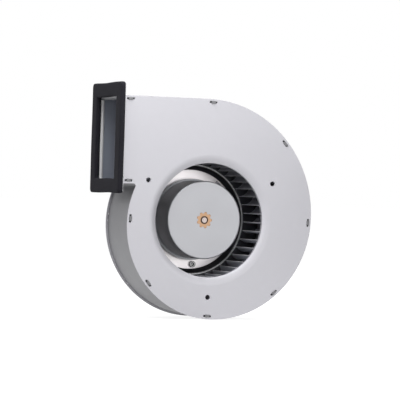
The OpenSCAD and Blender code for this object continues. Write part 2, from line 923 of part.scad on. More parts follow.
module rotor_can() {
    color("lightgray") difference() {
        turned() {
            difference() {
                union() {
                    translate([0, rotor_front + rotor_round])
                        square([rotor_r, rotor_back - rotor_front - rotor_round]);
                    translate([0, rotor_front]) square([rotor_r - rotor_round, rotor_round]);
                    translate([rotor_r - rotor_round, rotor_front + rotor_round]) circle(rotor_round);
                    translate([0, bead_front]) square([bead_r, bead_width]);
                    translate([0, bead_front]) square([seat_r, rotor_back - bead_front]);
                    translate([0, flange_front]) square([flange_r, flange_t]);
                }
                translate([-cut, rotor_front + rotor_wall])
                    square([cut + magnet_outer_r, rotor_length]);
            }
        }
        slab(rotor_front - cut, rotor_front + rotor_wall + cut) star_2d();
        impeller_screw_places() rod(impeller_screw_r, flange_front - cut, rotor_back + cut);
    }
}

// Arc magnets on the inside of the can, with a thin joint between neighbours
module rotor_magnets() {
    color([0.25, 0.25, 0.27]) slab(magnet_front, magnet_front + magnet_length) difference() {
        ring_2d(magnet_outer_r, magnet_inner_r);
        for (i = [0 : magnet_count - 1]) {
            rotate(i * 360 / magnet_count) translate([magnet_inner_r - cut, -magnet_joint / 2])
                square([magnet_t + 2 * cut, magnet_joint]);
        }
    }
}

module rotor_hub() {
    color("burlywood") difference() {
        union() {
            slab(rotor_front, rotor_front + rotor_wall) star_2d();
            rod(hub_boss_r, rotor_front, rotor_front + bearing_from_face);
        }
        rod(shaft_r, rotor_front - cut, rotor_front + bearing_from_face + cut);
        rod(shaft_r + hub_groove_width, rotor_front - cut, rotor_front + hub_groove_depth);
    }
}

module shaft() {
    color("white") difference() {
        rod(shaft_r, rotor_front - shaft_proud, shaft_back);
        rod_ring(shaft_r + cut, shaft_r - circlip_groove, circlip_front, circlip_front + circlip_t);
    }
}

module shaft_circlip() {
    color("dimgray") slab(circlip_front, circlip_front + circlip_t) difference() {
        ring_2d(circlip_r, shaft_r - circlip_groove);
        translate([0, -circlip_gap / 2]) square([circlip_r + cut, circlip_gap]);
    }
}

front_plate();
back_plate();
scroll_wall();
outlet_frame();
outlet_gasket();
motor_flange();
motor_flange_screws();
stator_core();
stator_insulator();
stator_windings();
circuit_board();
board_components();
rear_cover();
rear_cover_screws();
cable_grommet();
front_bearing_outer_ring();
rear_bearing_outer_ring();
preload_spring();
impeller_blades();
impeller_front_ring();
impeller_back_disc();
impeller_screws();
balance_clip();
rotor_can();
rotor_magnets();
rotor_hub();
shaft();
front_bearing_inner_ring();
rear_bearing_inner_ring();
shaft_circlip();
front_bearing_cage();
front_bearing_balls();
rear_bearing_cage();
rear_bearing_balls();
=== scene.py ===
"""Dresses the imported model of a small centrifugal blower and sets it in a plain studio.

Each sub-assembly is a class that holds its sizes, and builds or dresses its own pieces. Each
finish is a frozen dataclass that makes one procedural material. Lengths are in metres, or in
millimetres where the name ends in _mm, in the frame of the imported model: the origin is on the
impeller's axis at the outer face of the inlet plate, +X is right seen from the inlet, +Z is up
and +Y runs into the housing.
"""

from __future__ import annotations

import json
import logging
import math
from dataclasses import dataclass
from enum import Enum
from typing import ClassVar, Union

import bmesh
import bpy
from mathutils import Matrix, Vector

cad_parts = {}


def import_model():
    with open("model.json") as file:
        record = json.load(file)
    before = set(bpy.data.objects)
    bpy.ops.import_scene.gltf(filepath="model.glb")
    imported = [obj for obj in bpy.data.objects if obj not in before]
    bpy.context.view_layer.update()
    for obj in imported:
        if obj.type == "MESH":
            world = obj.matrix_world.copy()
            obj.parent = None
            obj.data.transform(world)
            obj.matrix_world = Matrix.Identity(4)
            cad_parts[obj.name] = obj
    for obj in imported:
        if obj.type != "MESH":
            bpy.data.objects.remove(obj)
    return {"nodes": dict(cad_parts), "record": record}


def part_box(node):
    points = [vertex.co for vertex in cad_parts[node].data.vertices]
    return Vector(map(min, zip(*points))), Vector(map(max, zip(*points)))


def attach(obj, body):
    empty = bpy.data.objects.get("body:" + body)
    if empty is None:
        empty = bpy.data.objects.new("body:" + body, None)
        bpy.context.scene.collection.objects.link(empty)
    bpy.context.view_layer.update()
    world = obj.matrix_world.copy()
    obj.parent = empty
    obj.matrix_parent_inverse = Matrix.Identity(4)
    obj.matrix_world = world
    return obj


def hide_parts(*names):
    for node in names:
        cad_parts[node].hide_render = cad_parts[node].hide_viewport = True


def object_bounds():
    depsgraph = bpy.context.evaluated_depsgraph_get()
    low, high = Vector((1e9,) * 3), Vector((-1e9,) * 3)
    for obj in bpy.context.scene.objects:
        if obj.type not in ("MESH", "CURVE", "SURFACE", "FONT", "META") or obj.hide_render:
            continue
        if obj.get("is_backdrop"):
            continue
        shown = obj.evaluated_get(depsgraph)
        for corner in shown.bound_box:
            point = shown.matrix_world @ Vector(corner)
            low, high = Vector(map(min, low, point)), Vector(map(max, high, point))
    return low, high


log = logging.getLogger("blower")

Colour = tuple[float, float, float]
Pair = tuple[float, float]
Names = tuple[str, ...]
Socket = bpy.types.NodeSocket
Number = Union[Socket, float]
Paint = Union[Socket, Colour]

MM = 0.001
WHITE: Colour = (1.0, 1.0, 1.0)
BLACK: Colour = (0.0, 0.0, 0.0)
FAR = 1.0  # farther than any piece reaches, in metres
SMOOTH, PLAIN, FINE = 2.0, 3.0, 4.0  # octaves of noise
NOISE_LOW, NOISE_HIGH = 0.3, 0.7  # most of a noise texture's values lie between these
MIX_LOW, MIX_HIGH, MIX_RESULT = 6, 7, 2  # the colour sockets of a mix node


class Body(Enum):
    """Names of the bodies that new pieces ride on."""

    HOUSING = "housing"


class Measure(Enum):
    """What tells one zone of a piece from another."""

    RADIUS = "distance from the fan's axis"
    DEPTH = "depth behind the inlet plate's outer face"
    ACROSS = "distance right of the axis"
    HEIGHT = "height above the axis"


class Maths(Enum):
    """Operations of a math node."""

    ADD = "ADD"
    SUBTRACT = "SUBTRACT"
    MULTIPLY = "MULTIPLY"
    MINIMUM = "MINIMUM"
    MAXIMUM = "MAXIMUM"
    ROOT = "SQRT"


class Blend(Enum):
    """Ways of mixing two colours."""

    MIX = "MIX"
    MULTIPLY = "MULTIPLY"


class Ray(Enum):
    """Kinds of ray that the studio can tell apart."""

    CAMERA = "Is Camera Ray"
    GLOSSY = "Is Glossy Ray"
    TRANSMISSION = "Is Transmission Ray"


class Side(Enum):
    """Sides of the outlet: the way along each one and the way out of it, in y and z."""

    TOP = ((1, 0), (0, 1))
    INLET_SIDE = ((0, 1), (-1, 0))
    BOTTOM = ((-1, 0), (0, -1))
    MOTOR_SIDE = ((0, -1), (1, 0))


# ---- Node trees ----


def shade(colour: Colour, factor: float) -> Colour:
    """Returns a colour times a factor."""
    return tuple(min(1.0, channel * factor) for channel in colour)


class Nodes:
    """A node tree, with short calls that add, set and join its nodes."""

    def __init__(self, tree: bpy.types.NodeTree) -> None:
        """Empties the tree.

        Args:
            tree: the tree to fill.
        """
        self.tree = tree
        self.tree.nodes.clear()

    def add(self, kind: str) -> bpy.types.Node:
        """Adds a node of the given type and returns it."""
        return self.tree.nodes.new(kind)

    def link(self, source: Socket, target: Socket) -> None:
        """Joins an output socket to an input socket."""
        self.tree.links.new(source, target)

    def feed(self, target: Socket, value: Number) -> None:
        """Links or sets an input.

        Args:
            target: the input to fill.
            value: an output socket or a number.
        """
        if isinstance(value, bpy.types.NodeSocket):
            self.link(value, target)
        else:
            target.default_value = value

    def feed_paint(self, target: Socket, paint: Paint) -> None:
        """Links or sets a colour input.

        Args:
            target: the input to fill.
            paint: an output socket or a colour.
        """
        if isinstance(paint, bpy.types.NodeSocket):
            self.link(paint, target)
        else:
            target.default_value = (*paint, 1.0)

    def math(self, operation: Maths, a: Number, b: Number = 0.0) -> Socket:
        """Applies an operation to one or two values.

        Args:
            operation: what to do.
            a: first value.
            b: second value, where the operation has one.

        Returns:
            The result.
        """
        node = self.add("ShaderNodeMath")
        node.operation = operation.value
        self.feed(node.inputs[0], a)
        self.feed(node.inputs[1], b)
        return node.outputs["Value"]

    def emitter(self, kind: str, strength: Number) -> Socket:
        """Adds a node that gives out white light.

        Args:
            kind: the node's type, a background or an emission.
            strength: the light's strength.

        Returns:
            The light.
        """
        node = self.add(kind)
        self.feed_paint(node.inputs["Color"], WHITE)
        self.feed(node.inputs["Strength"], strength)
        return node.outputs[0]

    def diffuse(self, colour: Colour) -> Socket:
        """Adds a matt surface.

        Args:
            colour: its colour.

        Returns:
            The surface.
        """
        node = self.add("ShaderNodeBsdfDiffuse")
        self.feed_paint(node.inputs["Color"], colour)
        return node.outputs["BSDF"]

    def seen_by(self, *rays: Ray) -> Socket:
        """Tells some kinds of ray from the others.

        Args:
            rays: the kinds to pick out.

        Returns:
            1 for rays of those kinds and 0 for others.
        """
        path = self.add("ShaderNodeLightPath")
        seen = path.outputs[rays[0].value]
        for ray in rays[1:]:
            seen = self.math(Maths.MAXIMUM, seen, path.outputs[ray.value])
        return seen

    def surface(self, kind: str, shader: Socket) -> None:
        """Adds an output node of the given type and feeds its surface."""
        self.link(shader, self.add(kind).inputs["Surface"])


class Graph(Nodes):
    """A piece's material, with short calls for the textures and masks of the finishes."""

    def __init__(self, name: str) -> None:
        """Starts an empty material.

        Args:
            name: the material's name.
        """
        self.material = bpy.data.materials.new(name)
        self.material.use_nodes = True
        super().__init__(self.material.node_tree)
        self.shader = self.add("ShaderNodeBsdfPrincipled")
        self.surface("ShaderNodeOutputMaterial", self.shader.outputs["BSDF"])
        self.place = self.add("ShaderNodeTexCoord").outputs["Object"]
        split = self.add("ShaderNodeSeparateXYZ")
        self.link(self.place, split.inputs["Vector"])
        self.across, self.depth, self.height = (split.outputs[axis] for axis in "XYZ")
        self.edges: Socket | None = None

    def paint(self, colour: Paint) -> None:
        """Feeds the base colour."""
        self.feed_paint(self.shader.inputs["Base Color"], colour)

    def metal(self, share: float) -> None:
        """Sets the share of metal."""
        self.shader.inputs["Metallic"].default_value = share

    def rough(self, value: Number) -> None:
        """Feeds the roughness."""
        self.feed(self.shader.inputs["Roughness"], value)

    def rough_by(self, noise: Socket, middle: float, around: Pair) -> None:
        """Feeds a roughness that follows noise.

        Args:
            noise: the noise value.
            middle: the roughness that it moves round.
            around: how far it falls, as a negative number, and rises.
        """
        self.rough(self.spread(noise, middle + around[0], middle + around[1]))

    def noise(self, scale: float, detail: float = PLAIN, vector: Socket | None = None) -> Socket:
        """Makes cloudy noise.

        Args:
            scale: features per metre.
            detail: octaves.
            vector: the coordinates, or None for the piece's own.

        Returns:
            The noise value from 0 to 1.
        """
        node = self.add("ShaderNodeTexNoise")
        node.inputs["Scale"].default_value = scale
        node.inputs["Detail"].default_value = detail
        self.link(self.place if vector is None else vector, node.inputs["Vector"])
        return node.outputs["Fac"]

    def rings(self, scale: float) -> Socket:
        """Makes noise that changes only with distance from the fan's axis.

        Args:
            scale: rings per metre.

        Returns:
            The noise value from 0 to 1.
        """
        node = self.add("ShaderNodeTexNoise")
        node.noise_dimensions = "1D"
        node.inputs["Scale"].default_value = scale
        node.inputs["Detail"].default_value = PLAIN
        self.link(self.measured(Measure.RADIUS), node.inputs["W"])
        return node.outputs["Fac"]

    def crystals(self, scale: float) -> bpy.types.Node:
        """Splits the space into irregular cells.

        Args:
            scale: cells per metre.

        Returns:
            The texture node, which gives a distance and a random colour.
        """
        node = self.add("ShaderNodeTexVoronoi")
        node.inputs["Scale"].default_value = scale
        self.link(self.place, node.inputs["Vector"])
        return node

    def cells(self, scale: float) -> Socket:
        """Makes a random grey per cell.

        Args:
            scale: cells per metre.

        Returns:
            The grey value from 0 to 1.
        """
        grey = self.add("ShaderNodeRGBToBW")
        self.link(self.crystals(scale).outputs["Color"], grey.inputs["Color"])
        return grey.outputs["Val"]

    def stripes(self, scale: float, waviness: float) -> Socket:
        """Makes stripes that follow each other along the fan's axis.

        Args:
            scale: stripes per metre, in the wave texture's own unit.
            waviness: how far the stripes wander.

        Returns:
            The stripe value from 0 to 1.
        """
        node = self.add("ShaderNodeTexWave")
        node.bands_direction = "Y"
        node.inputs["Scale"].default_value = scale
        node.inputs["Distortion"].default_value = waviness
        self.link(self.place, node.inputs["Vector"])
        return node.outputs["Fac"]

    def stretched(self, factors: Colour) -> Socket:
        """Scales the piece's coordinates.

        Args:
            factors: factor of each axis.

        Returns:
            The scaled coordinates.
        """
        node = self.add("ShaderNodeMapping")
        node.inputs["Scale"].default_value = factors
        self.link(self.place, node.inputs["Vector"])
        return node.outputs["Vector"]

    def blend(self, share: Number, low: Paint, high: Paint, way: Blend = Blend.MIX) -> Socket:
        """Mixes two colours.

        Args:
            share: 0 gives low and 1 gives high.
            low: colour at 0.
            high: colour at 1.
            way: how they are mixed.

        Returns:
            The mixed colour.
        """
        node = self.add("ShaderNodeMix")
        node.data_type = "RGBA"
        node.blend_type = way.value
        self.feed(node.inputs["Factor"], share)
        self.feed_paint(node.inputs[MIX_LOW], low)
        self.feed_paint(node.inputs[MIX_HIGH], high)
        return node.outputs[MIX_RESULT]

    def shades(self, share: Number, colour: Colour, darkest: float, lightest: float) -> Socket:
        """Blends a colour's darker shade into its lighter one.

        Args:
            share: 0 gives the darker shade and 1 the lighter.
            colour: the colour.
            darkest: the darker shade's factor.
            lightest: the lighter shade's factor.

        Returns:
            The shaded colour.
        """
        return self.blend(share, shade(colour, darkest), shade(colour, lightest))

    def mottle(self, colour: Paint, share: Number, contrast: float) -> Socket:
        """Makes a colour lighter and darker by a share.

        Args:
            colour: the colour.
            share: 0 gives the darkest and 1 the lightest.
            contrast: largest change as a share of the colour.

        Returns:
            The mottled colour.
        """
        factor = self.blend(share, (1 - contrast,) * 3, (1 + contrast,) * 3)
        return self.blend(1.0, colour, factor, Blend.MULTIPLY)

    def remap(self, value: Number, start: Pair, end: Pair) -> Socket:
        """Maps a value from one range to another, clamped.

        Args:
            value: the value.
            start: low and high end of its range.
            end: what they become.

        Returns:
            The new value.
        """
        node = self.add("ShaderNodeMapRange")
        self.feed(node.inputs["Value"], value)
        for name, number in zip(("From Min", "From Max", "To Min", "To Max"), (*start, *end)):
            node.inputs[name].default_value = number
        return node.outputs["Result"]

    def spread(self, value: Number, low: float = 0.0, high: float = 1.0) -> Socket:
        """Stretches the middle of a noise value's range from low to high."""
        return self.remap(value, (NOISE_LOW, NOISE_HIGH), (low, high))

    def weighted(self, *terms: tuple[Socket, float]) -> Socket:
        """Adds values up by weight.

        Args:
            terms: each value and its weight.

        Returns:
            The weighted sum.
        """
        shares = [self.math(Maths.MULTIPLY, value, weight) for value, weight in terms]
        total = shares[0]
        for share in shares[1:]:
            total = self.math(Maths.ADD, total, share)
        return total

    def measured(self, measure: Measure) -> Socket:
        """Measures the place on the piece.

        Args:
            measure: what to measure.

        Returns:
            The measure in metres.
        """
        if measure is Measure.RADIUS:
            return self.distance((0.0, 0.0))
        if measure is Measure.DEPTH:
            return self.depth
        return self.across if measure is Measure.ACROSS else self.height

    def distance(self, centre: Pair) -> Socket:
        """Measures how far the place is from a line parallel to the fan's axis.

        Args:
            centre: the line's x and z.

        Returns:
            The distance in metres.
        """
        x = self.math(Maths.SUBTRACT, self.across, centre[0])
        z = self.math(Maths.SUBTRACT, self.height, centre[1])
        x_squared, z_squared = (self.math(Maths.MULTIPLY, side, side) for side in (x, z))
        return self.math(Maths.ROOT, self.math(Maths.ADD, x_squared, z_squared))

    def within(self, value: Number, low: float, high: float, soft: float) -> Socket:
        """Masks the places where a value lies between two limits.

        Args:
            value: the value to test.
            low: lower limit.
            high: upper limit.
            soft: half of the width over which the mask changes.

        Returns:
            1 between the limits and 0 elsewhere.
        """
        above = self.remap(value, (low - soft, low + soft), (0.0, 1.0))
        below = self.remap(value, (high - soft, high + soft), (1.0, 0.0))
        return self.math(Maths.MULTIPLY, above, below)

    def soften_edges(self, radius: float, samples: int = 4) -> None:
        """Makes light catch sharp edges as if they were rounded.

        Args:
            radius: radius of the rounding in metres.
            samples: how often each place is probed.
        """
        node = self.add("ShaderNodeBevel")
        node.samples = samples
        node.inputs["Radius"].default_value = radius
        self.edges = node.outputs["Normal"]
        self.link(self.edges, self.shader.inputs["Normal"])

    def bump(self, height: Socket, depth: float, strength: float) -> None:
        """Adds relief to the surface.

        Args:
            height: the height value from 0 to 1.
            depth: the relief's depth in metres.
            strength: how strongly it shows.
        """
        node = self.add("ShaderNodeBump")
        node.inputs["Strength"].default_value = strength
        node.inputs["Distance"].default_value = depth
        self.link(height, node.inputs["Height"])
        if self.edges is not None:
            self.link(self.edges, node.inputs["Normal"])
        self.link(node.outputs["Normal"], self.shader.inputs["Normal"])


# ---- Finishes ----


@dataclass(frozen=True)
class Limit:
    """Two ends, in millimetres, that one measure of a place has to lie between."""

    measure: Measure
    low_mm: float
    high_mm: float


@dataclass(frozen=True)
class Zone:
    """Part of a piece that is given a colour of its own by where it lies; most zones here are
    painted light or shade.
    """

    colour: Colour
    limits: tuple[Limit, ...]
    soft_mm: float = 0.05

    def lay(self, graph: Graph, under: Paint) -> Socket:
        """Lays the zone's colour over another colour.

        Args:
            graph: the material's graph.
            under: the colour so far.

        Returns:
            The new colour.
        """
        mask: Number = 1.0
        for limit in self.limits:
            low, high = limit.low_mm * MM, limit.high_mm * MM
            inside = graph.within(graph.measured(limit.measure), low, high, self.soft_mm * MM)
            mask = graph.math(Maths.MULTIPLY, mask, inside)
        return graph.blend(mask, under, self.colour)


@dataclass(frozen=True)
class Finish:
    """A procedural finish. Its name is also its material's."""

    name: str
    colour: Colour

    def build(self) -> bpy.types.Material:
        """Makes the material.

        Returns:
            The material.
        """
        graph = Graph(self.name)
        self.lay(graph)
        return graph.material

    def lay(self, graph: Graph) -> None:
        """Lays the finish on an empty material. Each kind of finish has its own way."""
        raise NotImplementedError

    def in_zones(self, graph: Graph, zones: tuple[Zone, ...]) -> Paint:
        """Lays zones over the finish's colour in order.

        Args:
            graph: the material's graph.
            zones: the zones, lowest first.

        Returns:
            The colour with its zones.
        """
        colour: Paint = self.colour
        for zone in zones:
            colour = zone.lay(graph, colour)
        return colour


@dataclass(frozen=True)
class GalvanisedSheet(Finish):
    """Zinc-coated sheet steel: faint crystal cells, rolling streaks and a satin surface."""

    metallic: float = 0.25
    roughness: float = 0.45
    rough_around: Pair = (-0.04, 0.05)
    spangle: float = 0.02
    cell_per_m: float = 160.0
    cell_weight: float = 0.25
    cloud_per_m: float = 18.0
    cloud_weight: float = 0.5
    streak_per_m: float = 60.0
    streak_weight: float = 0.25
    streak_squash: Colour = (0.08, 1.0, 1.0)
    grain_per_m: float = 900.0
    relief: float = 0.00001
    relief_strength: float = 0.2
    edge: float = 0.0003
    zones: tuple[Zone, ...] = ()

    def lay(self, graph: Graph) -> None:
        """Lays the zinc on.

        Args:
            graph: the empty material's graph.
        """
        cell = graph.cells(self.cell_per_m)
        cloud = graph.noise(self.cloud_per_m, SMOOTH)
        streak = graph.noise(self.streak_per_m, FINE, graph.stretched(self.streak_squash))
        mixed = graph.weighted(
            (cell, self.cell_weight), (cloud, self.cloud_weight), (streak, self.streak_weight)
        )
        colour = self.in_zones(graph, self.zones)
        graph.paint(graph.mottle(colour, graph.spread(mixed), self.spangle))
        graph.metal(self.metallic)
        graph.rough_by(mixed, self.roughness, self.rough_around)
        graph.soften_edges(self.edge)
        grain = graph.noise(self.grain_per_m, SMOOTH)
        graph.bump(graph.math(Maths.ADD, cell, grain), self.relief, self.relief_strength)


@dataclass(frozen=True)
class MachinedMetal(Finish):
    """Turned, ground or plated metal with fine marks round the fan's axis."""

    metallic: float = 0.9
    roughness: float = 0.3
    rough_around: Pair = (-0.05, 0.07)
    ring_per_m: float = 700.0
    ring_weight: float = 0.5
    blotch_per_m: float = 45.0
    blotch_weight: float = 0.5
    contrast: float = 0.04
    relief: float = 0.00001
    relief_strength: float = 0.1
    edge: float = 0.0002
    zones: tuple[Zone, ...] = ()

    def lay(self, graph: Graph) -> None:
        """Turns the marks in.

        Args:
            graph: the empty material's graph.
        """
        rings = graph.rings(self.ring_per_m)
        blotch = graph.noise(self.blotch_per_m)
        mixed = graph.weighted((rings, self.ring_weight), (blotch, self.blotch_weight))
        colour = self.in_zones(graph, self.zones)
        graph.paint(graph.mottle(colour, graph.spread(mixed), self.contrast))
        graph.metal(self.metallic)
        graph.rough_by(mixed, self.roughness, self.rough_around)
        graph.soften_edges(self.edge)
        graph.bump(rings, self.relief, self.relief_strength)


@dataclass(frozen=True)
class ScrewCircle:
    """Equally spaced screws on a circle round the fan's axis."""

    radius_mm: float
    first_degrees: float
    count: int

    def centres(self) -> list[Pair]:
        """Finds the screws.

        Returns:
            The x and z of each screw in metres.
        """
        radius = self.radius_mm * MM
        step = 360 / self.count
        turns = [math.radians(self.first_degrees + step * number) for number in range(self.count)]
        return [(radius * math.cos(turn), radius * math.sin(turn)) for turn in turns]


@dataclass(frozen=True)
class ScrewHead:
    """A screw's head seen along its axis: radii, the width of its rim painted dark as shade, and
    soft borders.
    """

    head_mm: float = 3.2
    rim_mm: float = 0.5
    socket_mm: float = 1.9
    socket_floor_mm: float = 0.8
    soft_mm: float = 0.15

    def mask(self, graph: Graph, near: Socket) -> Socket:
        """Masks the pale parts of the head.

        Args:
            graph: the material's graph.
            near: distance from the screw's axis.

        Returns:
            1 on the head's face and on the socket's floor, 0 elsewhere.
        """
        soft = self.soft_mm * MM
        face = graph.within(near, self.socket_mm * MM, (self.head_mm - self.rim_mm) * MM, soft)
        floor = graph.within(near, -FAR, self.socket_floor_mm * MM, soft)
        return graph.math(Maths.MAXIMUM, face, floor)


@dataclass(frozen=True)
class ScrewMetal(Finish):
    """Zinc-plated screws: pale round heads with a pale socket floor; socket walls and flanks
    painted dark as shade.
    """

    # Painted shade: the colour of the heads' rims, the socket walls and the flanks.
    dark: Colour
    circles: tuple[ScrewCircle, ...]
    head: ScrewHead
    metallic: float = 0.5
    roughness: float = 0.35
    grain_per_m: float = 900.0
    contrast: float = 0.08
    edge: float = 0.0002

    def lay(self, graph: Graph) -> None:
        """Lays the plating on the heads.

        Args:
            graph: the empty material's graph.
        """
        near: Number = FAR
        for circle in self.circles:
            for centre in circle.centres():
                near = graph.math(Maths.MINIMUM, near, graph.distance(centre))
        grain = graph.spread(graph.noise(self.grain_per_m))
        # Painted shade: all but the pale face and socket floor gets the dark colour.
        colour = graph.blend(self.head.mask(graph, near), self.dark, self.colour)
        graph.paint(graph.mottle(colour, grain, self.contrast))
        graph.metal(self.metallic)
        graph.rough(self.roughness)
        graph.soften_edges(self.edge)


@dataclass(frozen=True)
class CastMetal(Finish):
    """Die-cast aluminium with a fine grainy skin."""

    metallic: float = 0.6
    roughness: float = 0.5
    rough_around: Pair = (-0.06, 0.1)
    grain_per_m: float = 1400.0
    flow_per_m: float = 30.0
    darkest: float = 0.94
    lightest: float = 1.05
    relief: float = 0.00005
    relief_strength: float = 0.4
    edge: float = 0.0005

    def lay(self, graph: Graph) -> None:
        """Lays the casting skin.

        Args:
            graph: the empty material's graph.
        """
        grain = graph.noise(self.grain_per_m, FINE)
        flow = graph.spread(graph.noise(self.flow_per_m))
        graph.paint(graph.shades(flow, self.colour, self.darkest, self.lightest))
        graph.metal(self.metallic)
        graph.rough_by(grain, self.roughness, self.rough_around)
        graph.soften_edges(self.edge)
        graph.bump(grain, self.relief, self.relief_strength)


@dataclass(frozen=True)
class Coating(Finish):
    """Paint, moulded plastic or rubber with a fine texture."""

    roughness: float = 0.5
    rough_around: Pair = (-0.05, 0.06)
    grain_per_m: float = 1800.0
    cloud_per_m: float = 40.0
    variation: float = 0.06
    relief: float = 0.00003
    relief_strength: float = 0.4
    edge: float = 0.0003

    def lay(self, graph: Graph) -> None:
        """Lays the coat.

        Args:
            graph: the empty material's graph.
        """
        grain = graph.noise(self.grain_per_m)
        cloud = graph.spread(graph.noise(self.cloud_per_m, SMOOTH))
        graph.paint(graph.shades(cloud, self.colour, 1 - self.variation, 1 + self.variation))
        graph.metal(0.0)
        graph.rough_by(grain, self.roughness, self.rough_around)
        graph.soften_edges(self.edge)
        graph.bump(grain, self.relief, self.relief_strength)


@dataclass(frozen=True)
class Foam(Finish):
    """Closed-cell foam: dark, matt and full of small pores."""

    pore_per_m: float = 1500.0
    cloud_per_m: float = 120.0
    cloud_weight: float = 0.5
    pore_range: Pair = (0.3, 1.0)
    darkest: float = 0.75
    lightest: float = 1.3
    roughness: float = 0.92
    gloss: float = 0.2
    relief: float = 0.0002
    relief_cloud_weight: float = 0.4
    relief_strength: float = 0.35

    def lay(self, graph: Graph) -> None:
        """Opens the pores.

        Args:
            graph: the empty material's graph.
        """
        pores = graph.crystals(self.pore_per_m).outputs["Distance"]
        cloud = graph.noise(self.cloud_per_m)
        mixed = graph.weighted((pores, 1.0), (cloud, self.cloud_weight))
        share = graph.remap(mixed, self.pore_range, (0.0, 1.0))
        graph.paint(graph.shades(share, self.colour, self.darkest, self.lightest))
        graph.metal(0.0)
        graph.rough(self.roughness)
        graph.shader.inputs["Specular IOR Level"].default_value = self.gloss
        height = graph.weighted((pores, 1.0), (cloud, self.relief_cloud_weight))
        graph.bump(height, self.relief, self.relief_strength)


@dataclass(frozen=True)
class StripedMetal(Finish):
    """Parts with a regular fine stripe: stacked laminations or wound wire."""

    dark: Colour
    stripe_per_m: float
    waviness: float = 0.4
    patch_per_m: float = 90.0
    patch_range: Pair = (0.2, 0.8)
    patch_darkest: float = 0.8
    metallic: float = 0.7
    roughness: float = 0.4
    rough_around: Pair = (-0.05, 0.08)
    relief: float = 0.0001
    relief_strength: float = 0.6

    def lay(self, graph: Graph) -> None:
        """Lays the stripes.

        Args:
            graph: the empty material's graph.
        """
        stripe = graph.stripes(self.stripe_per_m, self.waviness)
        patch = graph.noise(self.patch_per_m, SMOOTH)
        fade = graph.remap(patch, self.patch_range, (self.patch_darkest, 1.0))
        share = graph.math(Maths.MULTIPLY, stripe, fade)
        graph.paint(graph.blend(share, self.dark, self.colour))
        graph.metal(self.metallic)
        graph.rough_by(patch, self.roughness, self.rough_around)
        graph.bump(stripe, self.relief, self.relief_strength)


class Paintshop:
    """Makes each finish once and lays it on pieces."""

    def __init__(self, record: dict) -> None:
        """Reads which node takes which finish.

        Args:
            record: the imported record.
        """
        rows = record["subparts"]
        self.slots: dict[str, str] = {row["node"]: row["material_slot"] for row in rows}
        self.stock: dict[str, bpy.types.Material] = {}

    def mix(self, finish: Finish) -> None:
        """Makes a finish and puts it in stock."""
        self.stock[finish.name] = finish.build()

    def dress(self, piece: bpy.types.Object, slot: str) -> None:
        """Gives a piece one finish all over and reports it.

        Args:
            piece: the piece.
            slot: the finish's name.
        """
        piece.data.materials.clear()
        piece.data.materials.append(self.stock[slot])
        log.info("dressed %s in %s", piece.name, slot)


# ---- Sub-assemblies ----


class SubAssembly:
    """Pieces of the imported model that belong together, and the finishes they take."""

    pieces: ClassVar[Names]

    def finishes(self) -> tuple[Finish, ...]:
        """Names the finishes of the pieces. Each sub-assembly has its own."""
        raise NotImplementedError

    def dress(self, nodes: dict[str, bpy.types.Object], paintshop: Paintshop) -> None:
        """Gives every piece the finish that the record names for it.

        Args:
            nodes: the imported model's objects by name.
            paintshop: makes and lays the finishes.
        """
        for finish in self.finishes():
            paintshop.mix(finish)
        for name in self.pieces:
            paintshop.dress(nodes[name], paintshop.slots[name])


@dataclass(frozen=True)
class Housing(SubAssembly):
    """Sheet housing: both plates, the scroll wall and the outlet frame."""

    pieces: ClassVar[Names] = ("front_plate", "back_plate", "scroll_wall", "outlet_frame")
    # Bounds of the painted shade on the back plate's inner face behind the outlet.
    duct_back: Limit = Limit(Measure.DEPTH, 60.0, 63.9)
    duct_across: Limit = Limit(Measure.ACROSS, -99.0, 5.0)
    duct_height: Limit = Limit(Measure.HEIGHT, 38.0, 118.5)
    # Bounds of the painted shade on the wall's front edge and on its tab ends.
    wall_rim: Limit = Limit(Measure.DEPTH, -5.0, 1.3)
    tab_ends: Limit = Limit(Measure.DEPTH, -5.0, -0.1)
    # Bounds of the painted shade on the outlet frame's inner walls.
    neck_depth: Limit = Limit(Measure.DEPTH, 0.5, 61.0)
    neck_across: Limit = Limit(Measure.ACROSS, -99.0, -90.0)
    neck_height: Limit = Limit(Measure.HEIGHT, 37.0, 119.0)
    # Bounds of the painted highlight on the rear edge of the outlet frame's inner wall.
    edge_depth: Limit = Limit(Measure.DEPTH, 61.3, 63.5)
    edge_across: Limit = Limit(Measure.ACROSS, -99.0, -94.6)
    edge_height: Limit = Limit(Measure.HEIGHT, 38.0, 118.0)

    def finishes(self) -> tuple[Finish, ...]:
        """Names the finishes of plates, wall and frame.

        Returns:
            The finishes.
        """
        # Painted shade: the back plate's inner face behind the outlet is drawn darker and bluer
        # than the plate.
        duct_shade = Zone((0.31, 0.335, 0.40), (self.duct_back, self.duct_across, self.duct_height))
        # Painted shade: the wall's front edge, seen through the slots in the inlet plate, is drawn
        # nearly black.
        rim = Zone((0.03, 0.03, 0.034), (self.wall_rim,))
        # Painted shade: the tab ends standing proud of the inlet plate are drawn darker than the
        # wall.
        tab_shade = Zone((0.20, 0.20, 0.21), (self.tab_ends,))
        # Painted shade: the outlet frame's inner walls are drawn dark.
        neck_shade = Zone((0.10, 0.105, 0.12), (self.neck_depth, self.neck_across, self.neck_height))
        # Painted highlight: a white strip on the rear edge of the outlet frame's inner wall.
        edge = Zone(WHITE, (self.edge_depth, self.edge_across, self.edge_height))
        return (
            GalvanisedSheet("galvanised_sheet", (0.545, 0.54, 0.575), metallic=0.4, zones=(duct_shade,)),
            # Painted shade: the scroll wall is the plates' galvanised steel, drawn about half as
            # bright so that its side looks shaded.
            GalvanisedSheet("wall_sheet", (0.26, 0.26, 0.275), metallic=0.3, zones=(rim, tab_shade)),
            GalvanisedSheet("frame_sheet", (0.50, 0.50, 0.52), zones=(neck_shade, edge)),
        )


